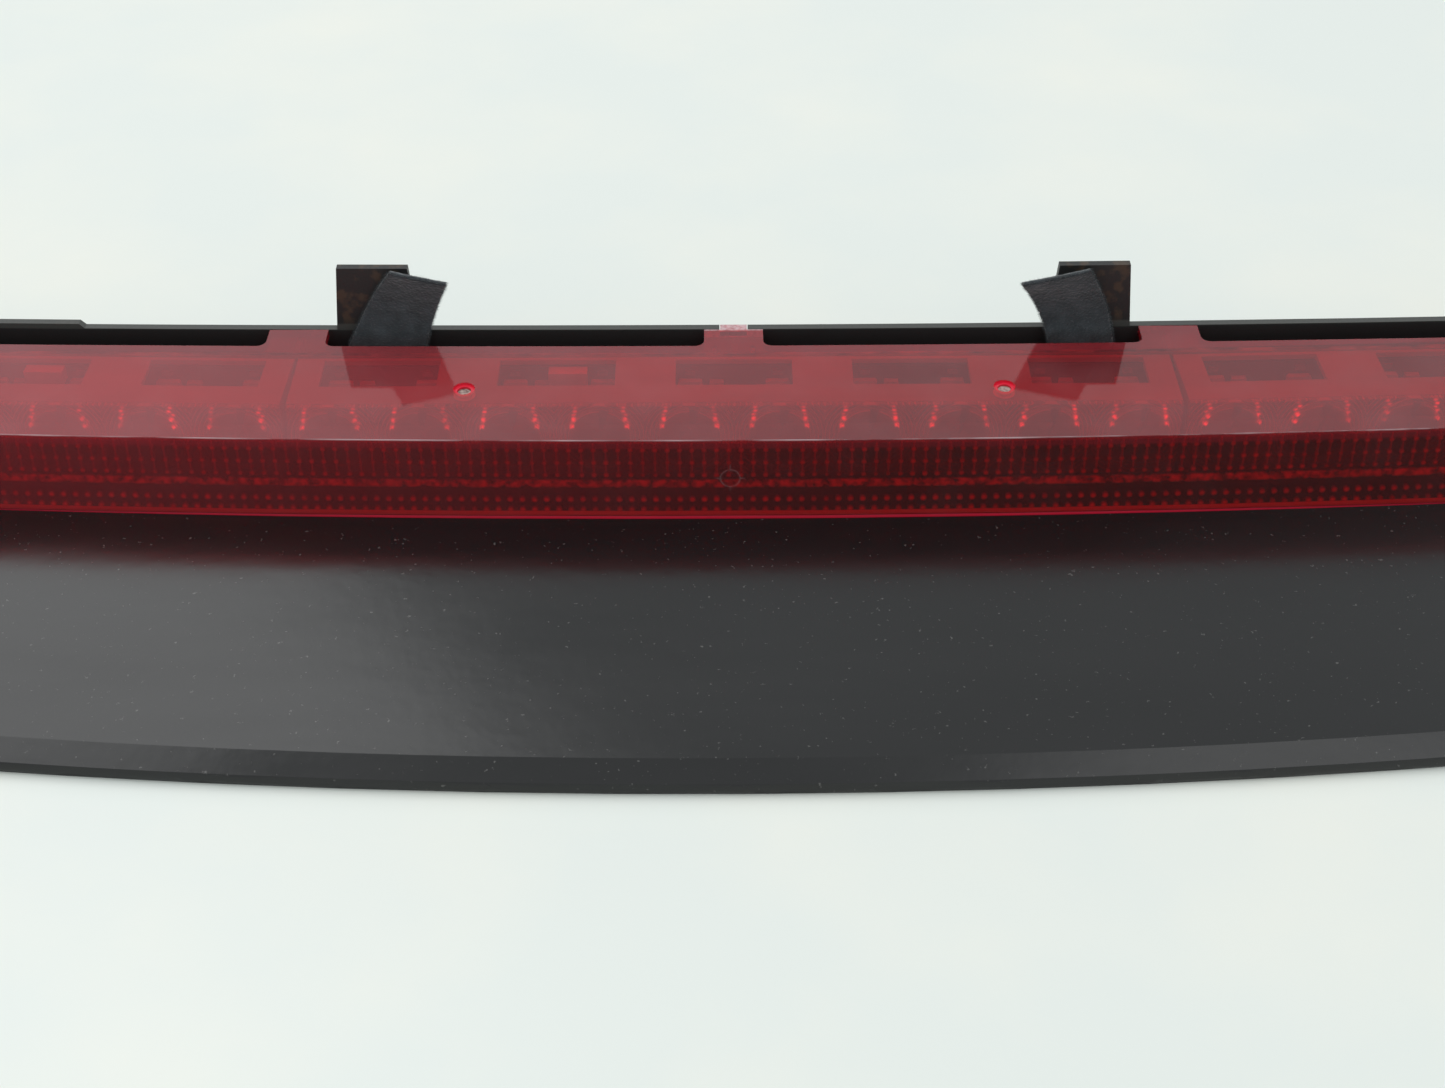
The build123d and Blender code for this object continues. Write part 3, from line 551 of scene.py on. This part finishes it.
led_material = speckled("led_epoxy", (0.62, 0.60, 0.52), (0.80, 0.78, 0.70), 0.2, 400.0)
resistor_material = speckled("resistor_ceramic", (0.10, 0.10, 0.10), (0.20, 0.20, 0.19), 0.5, 900.0)
diode_material = speckled("diode_epoxy", (0.45, 0.44, 0.40), (0.60, 0.58, 0.54), 0.4, 900.0)
for side in sides:
    dress("circuit_board_" + side, mask_material)
    dress("leds_" + side, led_material)
    dress("resistors_" + side, resistor_material)
    dress("diodes_" + side, diode_material)
chip_material = speckled("chip_epoxy", (0.015, 0.015, 0.015), (0.03, 0.03, 0.03), 0.45, 1200.0)
dress("driver_chips", chip_material)
capacitor_material = speckled("film_capacitor", (0.62, 0.50, 0.30), (0.75, 0.62, 0.40), 0.3, 300.0)
dress("suppression_capacitors", capacitor_material)
link_material = speckled("natural_nylon", (0.62, 0.60, 0.52), (0.72, 0.70, 0.62), 0.45, 300.0)
for side in ("left", "right"):
    dress("board_link_" + side, link_material)

# ---------------------------------------------------------------- connector, fixings and breather
# Socket in glass-filled nylon with tinned blades, zinc-plated screws, turned brass inserts,
# spring-steel clips, foam rings round the towers and a rubber breather.
nylon_material = speckled("glass_filled_nylon", (0.018, 0.018, 0.018), (0.035, 0.035, 0.036), 0.55, 700.0)
tin_material = speckled("tinned_contact", (0.62, 0.62, 0.60), (0.72, 0.72, 0.70), 0.3, 500.0, 1.0)
zinc_material = speckled("zinc_plate", (0.48, 0.48, 0.47), (0.62, 0.61, 0.58), 0.35, 350.0, 1.0)
brass_material = speckled("turned_brass", (0.62, 0.44, 0.18), (0.74, 0.55, 0.25), 0.3, 600.0, 1.0)
spring_material = speckled("spring_steel", (0.16, 0.16, 0.17), (0.28, 0.28, 0.29), 0.35, 420.0, 1.0)
foam_material = speckled("closed_cell_foam", (0.012, 0.012, 0.013), (0.035, 0.035, 0.036), 0.9, 1500.0)
rubber_material = speckled("breather_rubber", (0.02, 0.02, 0.02), (0.035, 0.035, 0.035), 0.7, 500.0)
for node, material in (("connector_socket", nylon_material), ("connector_contacts", tin_material),
                       ("frame_screws", zinc_material), ("trim_screws", zinc_material),
                       ("threaded_inserts", brass_material), ("spring_clips", spring_material),
                       ("tower_seals", foam_material), ("vent_plug", rubber_material)):
    dress(node, material)

# ---------------------------------------------------------------- felt strips
# Dark blue-grey fleece tape, stuck down each tongue's face and into the pocket behind the lens.
# Each free end curls towards the middle, with a raised pile of fine loose fibres.
felt = Recipe("fleece")
pile = felt.noise(1100.0, 6.0)
clumps = felt.noise(240.0, 4.0)
wool = felt.blend(felt.ramp(clumps, 0.35, 0.7), (0.020, 0.026, 0.031, 1), (0.042, 0.052, 0.060, 1))
felt_shader = felt.add("ShaderNodeBsdfPrincipled", Base_Color=wool, Roughness=1.0,
                       Normal=felt.bump(felt.sums("ADD", pile, clumps), 0.0005))
felt_shader.inputs["Sheen Weight"].default_value = 0.5
felt_material = felt.finish(felt_shader)
felt_thickness = 0.0013
fibre_count = 9000
fibre_shortest, fibre_longest, fibre_half_width = 0.0004, 0.0013, 0.00005
tape_setback, tape_curl, tape_sway, curl_start = 0.0022, 0.0175, 0.0005, 0.55
# Each tape's corners as (along the lamp, height): two at the root, then two at the tip.
tape_corners = {-1: ((-0.1250, 0.030), (-0.0985, 0.030), (-0.1055, 0.0672), (-0.0885, 0.0630)),
                1: ((0.1010, 0.030), (0.1210, 0.030), (0.0890, 0.0620), (0.1095, 0.0668))}
tape_bow = {-1: -0.0012, 1: 0.0022}
random.seed(7)


def tape_point(across, along, side):
    """A point on the tape's middle surface: across runs 0 to 1, along from the pocket to the tip."""
    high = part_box("felt_strip_left" if side < 0 else "felt_strip_right")[1]
    corners = tape_corners[side]
    first = Vector(corners[0]).lerp(Vector(corners[2]), along)
    last = Vector(corners[1]).lerp(Vector(corners[3]), along)
    point = first.lerp(last, across)
    bow = tape_bow[side] * math.sin(math.pi * along)
    curl = tape_curl * max(0.0, along - curl_start) ** 2
    sway = tape_sway * math.sin(7 * along + 2 * across)
    return Vector((point.x + bow, high.y - tape_setback - curl - sway, point.y))


for side, name in ((-1, "felt_strip_left"), (1, "felt_strip_right")):
    bpy.ops.object.select_all(action="DESELECT")
    bpy.ops.mesh.primitive_grid_add(x_subdivisions=24, y_subdivisions=56, size=1)
    tape = bpy.context.object
    tape.name = name.replace("strip", "tape")
    for vertex in tape.data.vertices:
        vertex.co = tape_point(vertex.co.x + 0.5, vertex.co.y + 0.5, side)
    thick = tape.modifiers.new("thickness", "SOLIDIFY")
    thick.thickness, thick.offset = felt_thickness, 0.0
    bpy.ops.object.modifier_apply(modifier="thickness")
    bpy.ops.object.mode_set(mode="EDIT")
    bpy.ops.mesh.select_all(action="SELECT")
    bpy.ops.mesh.normals_make_consistent(inside=False)
    bpy.ops.object.mode_set(mode="OBJECT")
    bpy.ops.object.shade_smooth()
    dress(tape, felt_material)
    verts, faces = [], []
    for index in range(fibre_count):
        across, along = random.random(), random.random()
        if index % 3 == 0:
            across = random.choice((0.0, 1.0))
        elif index % 7 == 0:
            along = 1.0
        face_y = random.choice((-1, 1)) * felt_thickness * 0.45
        root = tape_point(across, along, side) + Vector((0, face_y, 0))
        away = Vector((random.uniform(-1, 1) + (across - 0.5) * 2.4, random.uniform(-1, 0.25),
                       random.uniform(-0.6, 1)))
        tip = root + away.normalized() * random.uniform(fibre_shortest, fibre_longest)
        width = Vector((random.uniform(-1, 1), random.uniform(-1, 1), random.uniform(-1, 1)))
        width = width.normalized() * fibre_half_width
        first = len(verts)
        verts += [root - width, root + width, tip]
        faces.append((first, first + 1, first + 2))
    mesh = bpy.data.meshes.new(tape.name + "_fibres")
    mesh.from_pydata(verts, [], faces)
    fibres = bpy.data.objects.new(tape.name + "_fibres", mesh)
    scene.collection.objects.link(fibres)
    dress(fibres, felt_material)
    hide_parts(name)
    for piece in (tape, fibres):
        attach(piece, "root")
